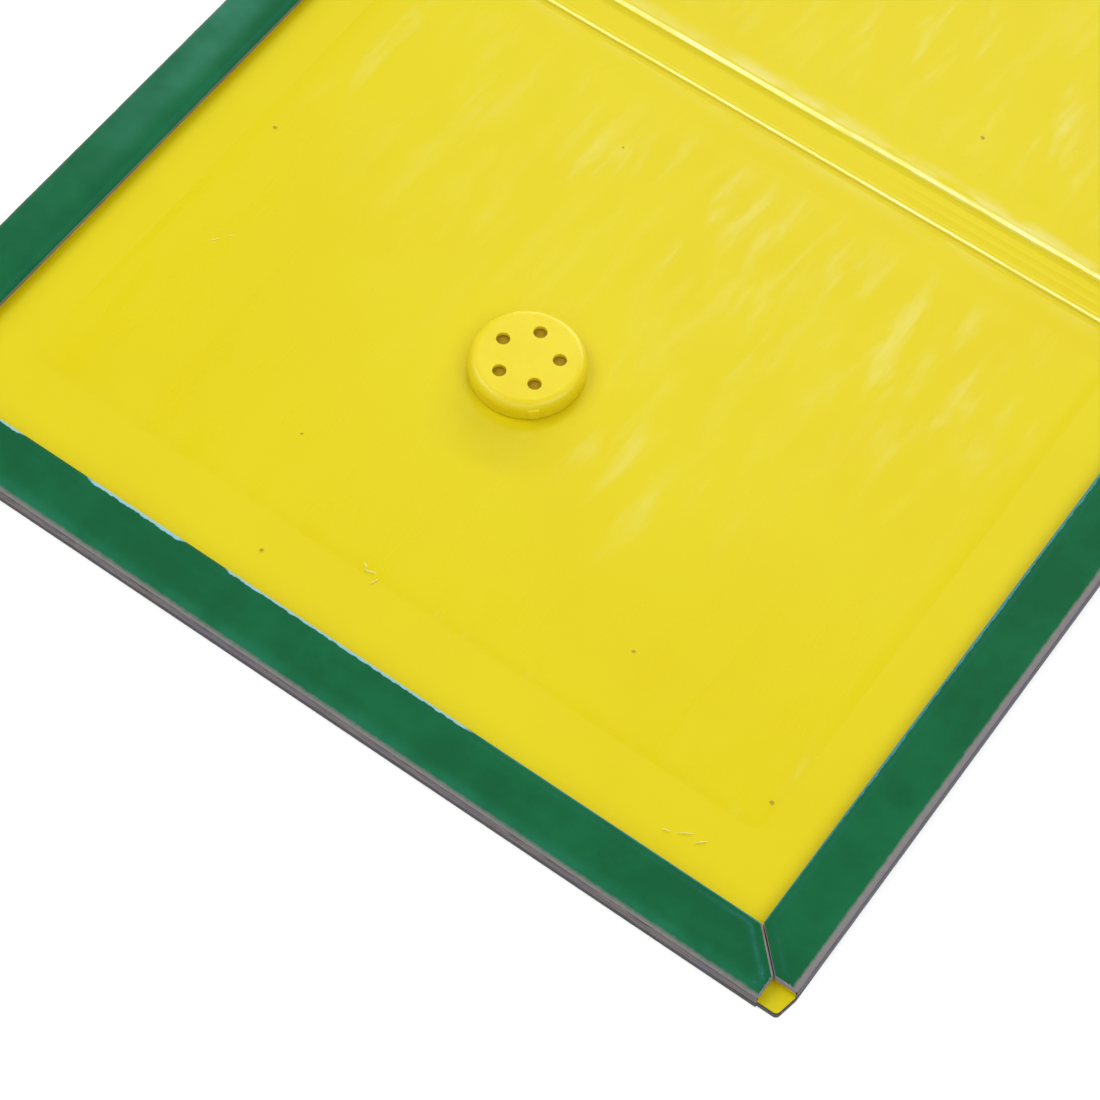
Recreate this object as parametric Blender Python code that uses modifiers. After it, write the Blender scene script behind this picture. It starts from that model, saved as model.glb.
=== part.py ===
"""Folding glue-board insect trap with a vented pheromone lure.

Two square-cut panels of lined chipboard are joined by a narrow spine, so the trap closes like a book.
Three flaps fold in over each panel as a raised border, and the glue lies inside that border.
X runs along the creases, +Y from the near panel to the far one, and +Z up from the resting face.
The origin is on the underside, at the middle of the opened trap.
"""

import math

import bmesh
import bpy
from mathutils import Vector

mm = 0.001

# Card sheet: three plies with a thin glue line between them
printed_paper = 0.30 * mm
core_board = 0.90 * mm
lining_paper = 0.30 * mm
glue_line = 0.05 * mm

# Folded blank
board_width = 210.0 * mm      # along the creases, fold to fold
panel_depth = 155.0 * mm      # from the outer fold to the crease, on each panel
flap_width = 11.8 * mm        # from the fold to the flap's free edge
fold_gap = 1.2 * mm           # space between a panel and the flap folded over it
print_setback = 0.15 * mm     # bare core between a flap's print and its fold
closing_room = 2.7 * mm       # left between the two borders when the trap is closed
corner_notch = 5.0 * mm       # square of panel left bare at each outer corner
corner_side_setback = 0.9 * mm  # how far the tip of that bare square stays inside the side folds
corner_end_setback = 0.35 * mm  # and inside the end fold
corner_radius = 0.6 * mm      # outer corners of the panels
flap_corner_radius = 0.4 * mm

# Clearances between sections that fold
fold_play = 0.20 * mm         # flap edge to its fold line
crease_play = 0.25 * mm       # panel or spine edge to its crease line
mitre_play = 0.25 * mm        # each flap end to the mitre line
flap_end_play = 1.2 * mm      # square flap end to the crease line

# Glue bed
glue_film = 0.25 * mm
glue_side_margin = 10.2 * mm  # from the side flaps' free edges
glue_end_margin = 14.7 * mm   # from the end flap's free edge
glue_crease_margin = 6.0 * mm
glue_corner_radius = 3.0 * mm

# Lure: a vented cap over a dish that holds the scented wafer
lure_side_offset = -5.9 * mm  # from the middle of the near panel
lure_end_distance = 80.3 * mm  # from the near outer fold
lure_diameter = 22.6 * mm
lure_height = 4.2 * mm
lure_rim_radius = 1.8 * mm
cap_wall = 0.9 * mm
cap_top = 0.9 * mm
vent_diameter = 2.7 * mm
vent_circle_diameter = 12.2 * mm
vent_count = 5
first_vent_angle = math.radians(174.3)
nub_width = 1.8 * mm
nub_stand = 0.5 * mm          # how far it stands out of the cap's side
nub_low = 0.4 * mm
nub_high = 3.0 * mm
nub_angle = math.radians(-48.0)
nest_play = 0.3 * mm          # between cap and dish, and dish and wafer
dish_wall = 0.8 * mm
dish_floor = 0.7 * mm
dish_height = 2.6 * mm
wafer_thickness = 2.2 * mm
turned_steps = 64
vent_sides = 24

# Values that follow from the sizes above
board = printed_paper + core_board + lining_paper + 2 * glue_line
spine_width = 2 * (fold_gap + board) + closing_room
crease_y = spine_width / 2
outer_y = crease_y + panel_depth
side_x = board_width / 2
fold_height = board + fold_gap / 2
lure_base_height = board + glue_line + glue_film + glue_line

for old_object in list(bpy.data.objects):
    bpy.data.objects.remove(old_object)


def new_collection(name):
    collection = bpy.data.collections.new(name)
    bpy.context.scene.collection.children.link(collection)
    return collection


trap = new_collection("folding_glue_trap")
cutters = new_collection("cutters")


def new_material(name, colour, roughness, coat=0.0):
    material = bpy.data.materials.new(name)
    material.use_nodes = True
    shader = material.node_tree.nodes["Principled BSDF"]
    shader.inputs["Base Color"].default_value = (*colour, 1.0)
    shader.inputs["Roughness"].default_value = roughness
    shader.inputs["Metallic"].default_value = 0.0
    shader.inputs["Coat Weight"].default_value = coat
    return material


materials = {
    "printed_paper": new_material("green_print", (0.012, 0.15, 0.06), 0.38),
    "core_board": new_material("grey_board", (0.27, 0.24, 0.24), 0.9),
    "yellow_lining": new_material("yellow_lining", (0.82, 0.67, 0.02), 0.3),
    "glue": new_material("clear_glue", (0.8, 0.65, 0.02), 0.12, coat=0.6),
    "lure_plastic": new_material("lure_plastic", (0.86, 0.68, 0.01), 0.45),
    "wafer_felt": new_material("wafer_felt", (0.42, 0.30, 0.10), 0.95),
}


def pivot(name, location, turn=0.0, parent=None):
    """An empty on a joint's axis. Its own +X is the axis that its body turns about."""
    empty = bpy.data.objects.new(name, None)
    empty.empty_display_size = 10 * mm
    trap.objects.link(empty)
    base = parent.location if parent else Vector()
    above = parent
    while above and above.parent:
        above = above.parent
        base = base + above.location
    empty.parent = parent
    empty.location = Vector(location) - base
    empty.rotation_euler.z = turn
    return empty


def rounded_outline(corners, arc_steps=6):
    """Points of a closed outline from (x, y, radius) corners, with every radius as an arc."""
    outline = []
    for index, (x, y, radius) in enumerate(corners):
        corner = Vector((x, y, 0.0))
        after_x, after_y, _ = corners[(index + 1) % len(corners)]
        before_x, before_y, _ = corners[index - 1]
        to_before = (Vector((before_x, before_y, 0.0)) - corner).normalized()
        to_after = (Vector((after_x, after_y, 0.0)) - corner).normalized()
        if radius == 0.0:
            outline.append(corner)
            continue
        half_angle = to_before.angle(to_after) / 2
        reach = radius / math.tan(half_angle)
        centre = corner + (to_before + to_after).normalized() * radius / math.sin(half_angle)
        first = (corner + to_before * reach - centre).normalized()
        last = (corner + to_after * reach - centre).normalized()
        for step in range(arc_steps + 1):
            outline.append(centre + first.slerp(last, step / arc_steps) * radius)
    return outline


def flat_ply(name, corners, low, thickness, material, parent):
    """One flat sheet: the outline in its parent's XY plane, from low up by its thickness."""
    points = rounded_outline(corners)
    curve = bpy.data.curves.new(name, "CURVE")
    curve.dimensions = "2D"
    curve.fill_mode = "BOTH"
    curve.extrude = thickness / 2
    spline = curve.splines.new("POLY")
    spline.points.add(len(points) - 1)
    for spot, point in zip(spline.points, points):
        spot.co = (point.x, point.y, 0.0, 1.0)
    spline.use_cyclic_u = True
    curve.materials.append(material)
    ply = bpy.data.objects.new(name, curve)
    ply.location.z = low + thickness / 2
    ply.parent = parent
    trap.objects.link(ply)
    return ply


def card_section(name, corners, low, parent, print_up, print_corners=None):
    """The three plies of one rigid section, stacked from low, with the print under or on top."""
    plies = [
        ("printed_paper", printed_paper, print_corners or corners),
        ("core_board", core_board, corners),
        ("yellow_lining", lining_paper, corners),
    ]
    if print_up:
        plies.reverse()
    height = low
    for ply_name, thickness, outline in plies:
        flat_ply(f"{name}_{ply_name}", outline, height, thickness, materials[ply_name], parent)
        height += thickness + glue_line


def rectangle(low_x, low_y, high_x, high_y, radius=0.0):
    return [
        (low_x, low_y, radius),
        (high_x, low_y, radius),
        (high_x, high_y, radius),
        (low_x, high_y, radius),
    ]


def panel_outline():
    """Half of the opened trap, from y = 0 on its crease line to the outer fold at +y.

    Between the ends of two flaps each bare corner tapers in from the side fold and
    steps in from the end fold.
    """
    notch_x = side_x - corner_notch
    notch_y = panel_depth - corner_notch
    tip_x = side_x - corner_side_setback
    tip_y = panel_depth - corner_end_setback
    right_half = [
        (side_x, crease_play, 0.0),
        (side_x, notch_y, 0.0),
        (tip_x, tip_y, corner_radius),
        (notch_x, tip_y, 0.0),
        (notch_x, panel_depth, 0.0),
    ]
    return right_half + [(-x, y, radius) for x, y, radius in reversed(right_half)]


def glue_outline():
    half_width = side_x - flap_width - glue_side_margin
    outer_edge = panel_depth - flap_width - glue_end_margin
    return rectangle(
        -half_width, glue_crease_margin, half_width, outer_edge, glue_corner_radius,
    )


def flap_end(half_length, mitred, setback):
    """One end of a flap as (distance along the fold, distance from the fold, radius) corners."""
    fold_edge = fold_play + setback
    diagonal_play = mitre_play * math.sqrt(2)
    if mitred:
        notch = half_length - corner_notch
        return [
            (notch, fold_edge, flap_corner_radius),
            (notch, corner_notch - diagonal_play, 0.0),
            (half_length - flap_width - diagonal_play, flap_width, flap_corner_radius),
        ]
    square_cut = half_length - flap_end_play
    return [
        (square_cut, fold_edge, flap_corner_radius),
        (square_cut, flap_width, flap_corner_radius),
    ]


def flap_outline(fold_length, low_mitred, high_mitred, setback=0.0):
    """A flap on the +y side of its fold line, which is its local X axis."""
    high_end = flap_end(fold_length / 2, high_mitred, setback)
    low_end = flap_end(fold_length / 2, low_mitred, setback)
    return high_end + [(-x, y, radius) for x, y, radius in reversed(low_end)]


def make_flap(name, location, turn, fold_length, low_mitred, high_mitred, panel_pivot):
    fold = pivot(f"{name}_fold", location, turn, panel_pivot)
    corners = flap_outline(fold_length, low_mitred, high_mitred)
    print_corners = flap_outline(fold_length, low_mitred, high_mitred, print_setback)
    card_section(name, corners, board + fold_gap - fold_height, fold, True, print_corners)


def make_panel(name, side, crease_pivot):
    """One panel with its glue bed and flaps; side is -1 for the near panel and +1 for the far one."""
    frame = pivot(f"{name}_frame", (0.0, side * crease_y, 0.0), parent=crease_pivot)
    frame.rotation_euler.z = 0.0 if side > 0 else math.pi
    card_section(f"{name}_panel", panel_outline(), 0.0, frame, print_up=False)
    glue_low = board + glue_line
    flat_ply(f"{name}_glue_bed", glue_outline(), glue_low, glue_film, materials["glue"], frame)
    middle_y = side * (crease_y + panel_depth / 2)
    quarter = math.pi / 2
    end_turn = 0.0 if side < 0 else math.pi
    make_flap(
        f"{name}_end_flap", (0.0, side * outer_y, fold_height), end_turn,
        board_width, True, True, crease_pivot,
    )
    make_flap(
        f"{name}_right_flap", (side_x, middle_y, fold_height), quarter,
        panel_depth, side < 0, side > 0, crease_pivot,
    )
    make_flap(
        f"{name}_left_flap", (-side_x, middle_y, fold_height), -quarter,
        panel_depth, side > 0, side < 0, crease_pivot,
    )


def make_spine(crease_pivot):
    """The strip between the creases, measured from the near crease line."""
    corners = rectangle(-side_x, crease_play, side_x, spine_width - crease_play)
    card_section("spine", corners, -board, crease_pivot, print_up=False)


def turned_piece(name, profile, material, parent):
    """A profile of (radius, height) points turned about its own Z axis."""
    mesh = bpy.data.meshes.new(name)
    spots = [(radius, 0.0, height) for radius, height in profile]
    edges = [(index, index + 1) for index in range(len(spots) - 1)]
    mesh.from_pydata(spots, edges, [])
    mesh.materials.append(material)
    piece = bpy.data.objects.new(name, mesh)
    piece.parent = parent
    trap.objects.link(piece)
    screw = piece.modifiers.new("turn", "SCREW")
    screw.axis = "Z"
    screw.steps = turned_steps
    screw.render_steps = turned_steps
    screw.use_merge_vertices = True
    screw.merge_threshold = 0.00001
    screw.use_smooth_shade = True
    return piece


def hidden_tool(name, shape, location, parent):
    """A shape that only cuts or joins another piece."""
    mesh = bpy.data.meshes.new(name)
    shape.to_mesh(mesh)
    shape.free()
    tool = bpy.data.objects.new(name, mesh)
    tool.location = location
    tool.parent = parent
    tool.hide_render = True
    tool.display_type = "WIRE"
    cutters.objects.link(tool)
    return tool


def vent_cutter(name, low, high, angle, parent):
    shape = bmesh.new()
    radius = vent_diameter / 2
    bmesh.ops.create_cone(
        shape, cap_ends=True, segments=vent_sides, radius1=radius, radius2=radius, depth=high - low,
    )
    reach = vent_circle_diameter / 2
    location = (reach * math.cos(angle), reach * math.sin(angle), (low + high) / 2)
    return hidden_tool(name, shape, location, parent)


def side_nub(name, parent):
    """A small upright rib, rooted half way into the cap's wall."""
    root = lure_diameter / 2 - cap_wall / 2
    tip = lure_diameter / 2 + nub_stand
    shape = bmesh.new()
    bmesh.ops.create_cube(shape, size=1.0)
    bmesh.ops.scale(shape, verts=shape.verts, vec=(tip - root, nub_width, nub_high - nub_low))
    outer = [edge for edge in shape.edges if all(spot.co.x > 0 for spot in edge.verts)]
    bmesh.ops.bevel(
        shape, geom=outer, offset=nub_stand / 2, segments=3, profile=0.5, affect="EDGES",
    )
    middle = (root + tip) / 2
    location = (
        middle * math.cos(nub_angle), middle * math.sin(nub_angle), (nub_low + nub_high) / 2,
    )
    nub = hidden_tool(name, shape, location, parent)
    nub.rotation_euler.z = nub_angle
    return nub


def apply_shape(piece, tool, operation):
    boolean = piece.modifiers.new(tool.name, "BOOLEAN")
    boolean.operation = operation
    boolean.solver = "EXACT"
    boolean.object = tool


def rim_arc(radius, height, rim_radius, steps=5):
    """The rounded edge between a flat top and an upright side."""
    arc = []
    for step in range(steps + 1):
        angle = math.pi / 2 * (1 - step / steps)
        across = radius - rim_radius + rim_radius * math.cos(angle)
        up = height - rim_radius + rim_radius * math.sin(angle)
        arc.append((across, up))
    return arc


def make_lure_cap(lift):
    radius = lure_diameter / 2
    inner = radius - cap_wall
    ceiling = lure_height - cap_top
    profile = [(0.0, lure_height)]
    profile += rim_arc(radius, lure_height, lure_rim_radius)
    profile += [(radius, 0.0), (inner, 0.0), (inner, ceiling), (0.0, ceiling)]
    cap = turned_piece("lure_cap", profile, materials["lure_plastic"], lift)
    apply_shape(cap, side_nub("lure_cap_nub", lift), "UNION")
    for index in range(vent_count):
        angle = first_vent_angle - index * 2 * math.pi / vent_count
        low = ceiling - cap_top
        high = lure_height + cap_top
        vent = vent_cutter(f"lure_vent_{index + 1}", low, high, angle, lift)
        apply_shape(cap, vent, "DIFFERENCE")


def make_lure_dish(lift):
    radius = lure_diameter / 2 - cap_wall - nest_play
    inner = radius - dish_wall
    profile = [
        (0.0, dish_floor),
        (inner, dish_floor),
        (inner, dish_height),
        (radius, dish_height),
        (radius, 0.0),
        (0.0, 0.0),
    ]
    turned_piece("lure_dish", profile, materials["lure_plastic"], lift)


def make_wafer(lift):
    radius = lure_diameter / 2 - cap_wall - dish_wall - 2 * nest_play
    low = dish_floor + glue_line
    high = low + wafer_thickness
    chamfer = wafer_thickness / 5
    profile = [
        (0.0, high),
        (radius - chamfer, high),
        (radius, high - chamfer),
        (radius, low + chamfer),
        (radius - chamfer, low),
        (0.0, low),
    ]
    turned_piece("pheromone_wafer", profile, materials["wafer_felt"], lift)


def make_lure(panel_pivot):
    place = (lure_side_offset, lure_end_distance - outer_y, lure_base_height)
    lift = pivot("lure_lift", place, parent=panel_pivot)
    cap_lift = pivot("lure_cap_lift", place, parent=lift)
    make_lure_dish(lift)
    make_wafer(lift)
    make_lure_cap(cap_lift)


near_frame = pivot("near_panel_root", (0.0, 0.0, 0.0))
near_crease = pivot("near_crease", (0.0, -crease_y, board), parent=near_frame)
far_crease = pivot("far_crease", (0.0, crease_y, board), parent=near_crease)
make_panel("near", -1, near_frame)
make_spine(near_crease)
make_panel("far", 1, far_crease)
make_lure(near_frame)
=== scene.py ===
# Folding glue-board trap with a vented lure: looks and stage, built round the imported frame.
import math

import bmesh
import bpy
from mathutils import Matrix, Vector, noise
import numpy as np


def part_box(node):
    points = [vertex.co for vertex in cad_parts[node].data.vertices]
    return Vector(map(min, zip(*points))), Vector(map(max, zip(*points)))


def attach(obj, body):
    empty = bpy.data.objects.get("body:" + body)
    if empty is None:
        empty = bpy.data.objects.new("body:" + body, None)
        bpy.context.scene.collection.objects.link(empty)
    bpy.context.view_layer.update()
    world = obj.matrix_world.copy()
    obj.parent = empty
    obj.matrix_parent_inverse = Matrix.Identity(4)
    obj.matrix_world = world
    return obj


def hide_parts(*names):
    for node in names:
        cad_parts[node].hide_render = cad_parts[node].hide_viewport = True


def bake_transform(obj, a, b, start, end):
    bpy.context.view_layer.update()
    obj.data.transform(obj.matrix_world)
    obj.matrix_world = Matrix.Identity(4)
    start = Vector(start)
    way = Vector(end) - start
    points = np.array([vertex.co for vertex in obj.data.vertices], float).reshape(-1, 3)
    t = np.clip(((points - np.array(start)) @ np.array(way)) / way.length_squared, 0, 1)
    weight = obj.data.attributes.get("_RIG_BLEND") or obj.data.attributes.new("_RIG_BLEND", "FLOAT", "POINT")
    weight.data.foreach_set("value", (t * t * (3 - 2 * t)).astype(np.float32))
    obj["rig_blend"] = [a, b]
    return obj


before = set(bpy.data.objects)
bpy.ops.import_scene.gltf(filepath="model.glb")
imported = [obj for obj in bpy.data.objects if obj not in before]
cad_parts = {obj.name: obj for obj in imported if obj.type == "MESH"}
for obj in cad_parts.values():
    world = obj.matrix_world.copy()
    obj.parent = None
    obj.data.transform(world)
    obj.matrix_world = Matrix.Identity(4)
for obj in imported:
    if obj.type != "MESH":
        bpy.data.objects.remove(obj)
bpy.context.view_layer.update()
mm = 0.001
print("frame loaded:", len(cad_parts), "nodes")


# node helpers
def addNode(tree, kind, inputs=None, **settings):
    made = tree.nodes.new(kind)
    for key, value in settings.items():
        setattr(made, key, value)
    for key, value in (inputs or {}).items():
        if isinstance(value, bpy.types.NodeSocket):
            tree.links.new(value, made.inputs[key])
        else:
            made.inputs[key].default_value = value
    return made


def startMaterial(name, roughness):
    material = bpy.data.materials.new(name)
    material.use_nodes = True
    tree = material.node_tree
    shader = tree.nodes["Principled BSDF"]
    shader.inputs["Roughness"].default_value = roughness
    place = tree.nodes.new("ShaderNodeTexCoord").outputs["Object"]
    return material, tree, shader, place


def stretched(tree, place, scale):
    mapping = addNode(tree, "ShaderNodeMapping", {"Vector": place, "Scale": scale})
    return mapping.outputs["Vector"]


def noiseOf(tree, place, scale, detail=3.0, rough=0.5, distortion=0.0):
    made = addNode(tree, "ShaderNodeTexNoise", {
        "Vector": place, "Scale": scale, "Detail": detail,
        "Roughness": rough, "Distortion": distortion,
    })
    return made.outputs["Fac"]


def remap(tree, value, low, high, toLow=0.0, toHigh=1.0):
    made = addNode(tree, "ShaderNodeMapRange", {
        "Value": value, "From Min": low, "From Max": high, "To Min": toLow, "To Max": toHigh,
    }, interpolation_type="SMOOTHSTEP")
    return made.outputs["Result"]


def maths(tree, operation, first, second):
    made = tree.nodes.new("ShaderNodeMath")
    made.operation = operation
    for index, value in enumerate((first, second)):
        if isinstance(value, bpy.types.NodeSocket):
            tree.links.new(value, made.inputs[index])
        else:
            made.inputs[index].default_value = value
    return made.outputs[0]


def mixColour(tree, factor, first, second):
    made = tree.nodes.new("ShaderNodeMix")
    made.data_type = "RGBA"
    for socket, value in ((0, factor), (6, first), (7, second)):
        if isinstance(value, bpy.types.NodeSocket):
            tree.links.new(value, made.inputs[socket])
        else:
            made.inputs[socket].default_value = value if socket == 0 else (*value, 1.0)
    return made.outputs[2]


def attribute(tree, name):
    return addNode(tree, "ShaderNodeAttribute", attribute_name=name).outputs["Fac"]


def bumpFrom(tree, height, distance, strength=1.0, under=None):
    inputs = {"Height": height, "Distance": distance, "Strength": strength}
    if under is not None:
        inputs["Normal"] = under
    return addNode(tree, "ShaderNodeBump", inputs).outputs["Normal"]


# materials
greenLook = {
    "ink": (0.0050, 0.138, 0.047),
    "inkDark": (0.0035, 0.112, 0.037),
    "foldSheen": (0.010, 0.165, 0.078),
    "paintedSheen": (0.045, 0.235, 0.145),
    "pressHighlight": (0.014, 0.150, 0.096),
    "wornAndSheen": (0.30, 0.56, 0.62),
    "scuffAndSheen": (0.030, 0.220, 0.215),
    "bare": (0.26, 0.235, 0.235),
}


def greenPrint():
    material, tree, shader, place = startMaterial("greenPrint", 0.5)
    shader.inputs["Specular IOR Level"].default_value = 0.12
    cloud = noiseOf(tree, place, 90.0, 4.0, 0.6)
    speck = noiseOf(tree, place, 900.0, 3.0, 0.65)
    edgeNoise = noiseOf(tree, place, 700.0, 2.0, 0.5)
    ink = mixColour(tree, remap(tree, cloud, 0.35, 0.68), greenLook["inkDark"], greenLook["ink"])
    # painted sheen: the print is painted a lighter teal within a few mm of its fold
    fold = attribute(tree, "fromFold")
    foldSheenMask = remap(tree, fold, 3.4 * mm, 0.7 * mm)
    foldSheenMask = maths(tree, "MULTIPLY", foldSheenMask, remap(tree, cloud, 0.30, 0.62, 0.30, 1.0))
    foldSheenMask = maths(tree, "MULTIPLY", foldSheenMask, attribute(tree, "foldSheenShare"))
    colour = mixColour(tree, foldSheenMask, ink, greenLook["foldSheen"])
    # painted sheen: the left flaps are painted a paler teal in patches, away from their inner edge
    sheenCloud = remap(tree, noiseOf(tree, place, 55.0, 3.0, 0.55), 0.34, 0.66, 0.25, 1.0)
    paintedSheen = maths(tree, "MULTIPLY", attribute(tree, "paintedSheen"), sheenCloud)
    colour = mixColour(tree, paintedSheen, colour, greenLook["paintedSheen"])
    uneven = remap(tree, edgeNoise, 0.3, 0.6, 0.5, 1.0)
    # painted highlight: the pressed line is painted a lighter teal
    pressHighlight = maths(tree, "MULTIPLY", attribute(tree, "pressHighlight"), uneven)
    colour = mixColour(tree, pressHighlight, colour, greenLook["pressHighlight"])
    # the free inner edge is painted pale blue and teal: partly worn paper, partly a painted highlight on its
    # rounded cut
    reach = remap(tree, edgeNoise, 0.3, 0.7, 0.50 * mm, 0.80 * mm)
    reach = maths(tree, "MULTIPLY", reach, attribute(tree, "chafeAndSheen"))
    wornAndSheen = remap(tree, maths(tree, "SUBTRACT", reach, attribute(tree, "fromRim")), -0.10 * mm, 0.10 * mm)
    # painted glints: bright specks along the pressed line near the flap's ends
    paintedGlints = maths(tree, "MULTIPLY", remap(tree, edgeNoise, 0.55, 0.63), attribute(tree, "paintedGlints"))
    wornAndSheen = maths(tree, "MAXIMUM", wornAndSheen, paintedGlints)
    wornAndSheenColour = mixColour(tree, attribute(tree, "pale"), greenLook["scuffAndSheen"], greenLook["wornAndSheen"])
    colour = mixColour(tree, wornAndSheen, colour, wornAndSheenColour)
    bareReach = remap(tree, edgeNoise, 0.25, 0.75, 0.00 * mm, 0.16 * mm)
    bare = remap(tree, maths(tree, "SUBTRACT", bareReach, fold), -0.60 * mm, 0.15 * mm)
    colour = mixColour(tree, bare, colour, greenLook["bare"])
    tree.links.new(colour, shader.inputs["Base Color"])
    gloss = remap(tree, speck, 0.3, 0.7, 0.40, 0.55)
    tree.links.new(gloss, shader.inputs["Roughness"])
    fibre = bumpFrom(tree, speck, 0.012 * mm, 0.55)
    tree.links.new(bumpFrom(tree, cloud, 0.10 * mm, 0.5, fibre), shader.inputs["Normal"])
    return material


def greyBoard(name, pale, dark, blueTintAndReflection):
    # layered grey board, painted bluer towards its right-hand edge as a painted reflection, and painted
    # darker low down in a bend as painted shade
    material, tree, shader, place = startMaterial(name, 0.88)
    layers = noiseOf(tree, stretched(tree, place, (260.0, 260.0, 5200.0)), 1.0, 4.0, 0.7)
    fibres = noiseOf(tree, place, 2600.0, 4.0, 0.7)
    blotch = noiseOf(tree, place, 130.0, 2.0, 0.5)
    colour = mixColour(tree, remap(tree, layers, 0.32, 0.66), dark, pale)
    colour = mixColour(tree, remap(tree, blotch, 0.45, 0.75, 0.0, 0.6), colour, blueTintAndReflection)
    # painted reflection: the board is painted bluer towards its right-hand edge, from x = 103.5 to 105 mm
    across = addNode(tree, "ShaderNodeSeparateXYZ", {"Vector": place}).outputs["X"]
    colour = mixColour(tree, remap(tree, across, 103.5 * mm, 105.0 * mm, 0.0, 0.7), colour, blueTintAndReflection)
    # painted shade: a much darker copy of the board's colour
    shadeColour = tuple(part * 0.4 for part in dark)
    colour = mixColour(tree, attribute(tree, "paintedShade"), colour, shadeColour)
    tree.links.new(colour, shader.inputs["Base Color"])
    grain = bumpFrom(tree, fibres, 0.05 * mm, 0.8)
    tree.links.new(bumpFrom(tree, layers, 0.08 * mm, 0.7, grain), shader.inputs["Normal"])
    return material


yellowLook = {
    "base": (0.790, 0.665, 0.0035),
    "warm": (0.780, 0.640, 0.0025),
    "grooveShadeColour": (0.640, 0.470, 0.0015),
    "hazeAndSheen": (0.840, 0.760, 0.190),
}


def yellowLining():
    material, tree, shader, place = startMaterial("yellowLining", 0.36)
    shader.inputs["Specular IOR Level"].default_value = 0.30
    cloud = noiseOf(tree, place, 22.0, 4.0, 0.55)
    tooth = noiseOf(tree, place, 1400.0, 3.0, 0.6)
    colour = mixColour(tree, remap(tree, cloud, 0.35, 0.7), yellowLook["base"], yellowLook["warm"])
    # painted shade: the lining is painted a deeper orange in the groove at a crease bead's foot
    colour = mixColour(tree, attribute(tree, "paintedGrooveShade"), colour, yellowLook["grooveShadeColour"])
    brushed = noiseOf(tree, stretched(tree, place, (110.0, 420.0, 100.0)), 1.0, 3.0, 0.5)
    # painted reflection: pale streaks painted on the lining where the sheen mask is set
    hazeAndSheenMask = maths(tree, "MULTIPLY", remap(tree, brushed, 0.30, 0.62), attribute(tree, "hazeAndSheen"))
    colour = mixColour(tree, hazeAndSheenMask, colour, yellowLook["hazeAndSheen"])
    tree.links.new(colour, shader.inputs["Base Color"])
    dull = remap(tree, tooth, 0.3, 0.7, 0.30, 0.42)
    polish = maths(tree, "MULTIPLY", attribute(tree, "burnish"), 0.16)
    tree.links.new(maths(tree, "SUBTRACT", dull, polish), shader.inputs["Roughness"])
    tree.links.new(bumpFrom(tree, tooth, 0.006 * mm, 0.5), shader.inputs["Normal"])
    return material


def clearGlue():
    material, tree, shader, place = startMaterial("clearGlue", 0.30)
    shader.inputs["Specular IOR Level"].default_value = 0.28
    cloud = noiseOf(tree, place, 22.0, 4.0, 0.55)
    drag = noiseOf(tree, stretched(tree, place, (420.0, 34.0, 100.0)), 1.0, 4.0, 0.6, 0.4)
    smear = noiseOf(tree, stretched(tree, place, (190.0, 44.0, 60.0)), 1.0, 3.5, 0.6, 0.2)
    pits = noiseOf(tree, place, 700.0, 2.0, 0.5)
    patches = remap(tree, noiseOf(tree, place, 26.0, 2.0, 0.5), 0.44, 0.60, 0.2, 1.0)
    colour = mixColour(tree, remap(tree, cloud, 0.35, 0.7), yellowLook["base"], yellowLook["warm"])
    # milky smears in the glue, partly painted reflection
    hazeAndSheenMask = maths(tree, "MULTIPLY", remap(tree, smear, 0.48, 0.80), attribute(tree, "hazeAndSheen"))
    hazeAndSheenMask = maths(tree, "MULTIPLY", hazeAndSheenMask, patches)
    colour = mixColour(tree, hazeAndSheenMask, colour, yellowLook["hazeAndSheen"])
    tree.links.new(colour, shader.inputs["Base Color"])
    tree.links.new(remap(tree, smear, 0.3, 0.7, 0.36, 0.24), shader.inputs["Roughness"])
    skin = bumpFrom(tree, drag, 0.030 * mm, 0.5)
    tree.links.new(bumpFrom(tree, pits, 0.010 * mm, 0.4, skin), shader.inputs["Normal"])
    return material


def lurePlastic():
    material, tree, shader, place = startMaterial("lurePlastic", 0.32)
    shader.inputs["Specular IOR Level"].default_value = 0.5
    shader.inputs["Subsurface Weight"].default_value = 0.25
    shader.inputs["Subsurface Radius"].default_value = (1.6 * mm, 1.2 * mm, 0.10 * mm)
    shader.inputs["Subsurface Scale"].default_value = 1.0
    grain = noiseOf(tree, place, 2200.0, 3.0, 0.6)
    cloud = noiseOf(tree, place, 160.0, 3.0, 0.5)
    colour = mixColour(tree, remap(tree, cloud, 0.35, 0.7), (0.90, 0.730, 0.010), (0.89, 0.700, 0.008))
    tree.links.new(colour, shader.inputs["Base Color"])
    tree.links.new(remap(tree, grain, 0.3, 0.7, 0.27, 0.37), shader.inputs["Roughness"])
    tree.links.new(bumpFrom(tree, grain, 0.008 * mm, 0.5), shader.inputs["Normal"])
    return material


def waferFelt():
    material, tree, shader, place = startMaterial("waferFelt", 0.95)
    fuzz = noiseOf(tree, place, 3200.0, 5.0, 0.75)
    colour = mixColour(tree, remap(tree, fuzz, 0.3, 0.7), (0.43, 0.27, 0.006), (0.54, 0.36, 0.010))
    tree.links.new(colour, shader.inputs["Base Color"])
    tree.links.new(bumpFrom(tree, fuzz, 0.08 * mm, 1.0), shader.inputs["Normal"])
    return material


def darkDust():
    material, tree, shader, place = startMaterial("darkDust", 0.6)
    grit = noiseOf(tree, place, 5000.0, 3.0, 0.6)
    colour = mixColour(tree, grit, (0.36, 0.28, 0.015), (0.56, 0.45, 0.02))
    tree.links.new(colour, shader.inputs["Base Color"])
    return material


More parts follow.
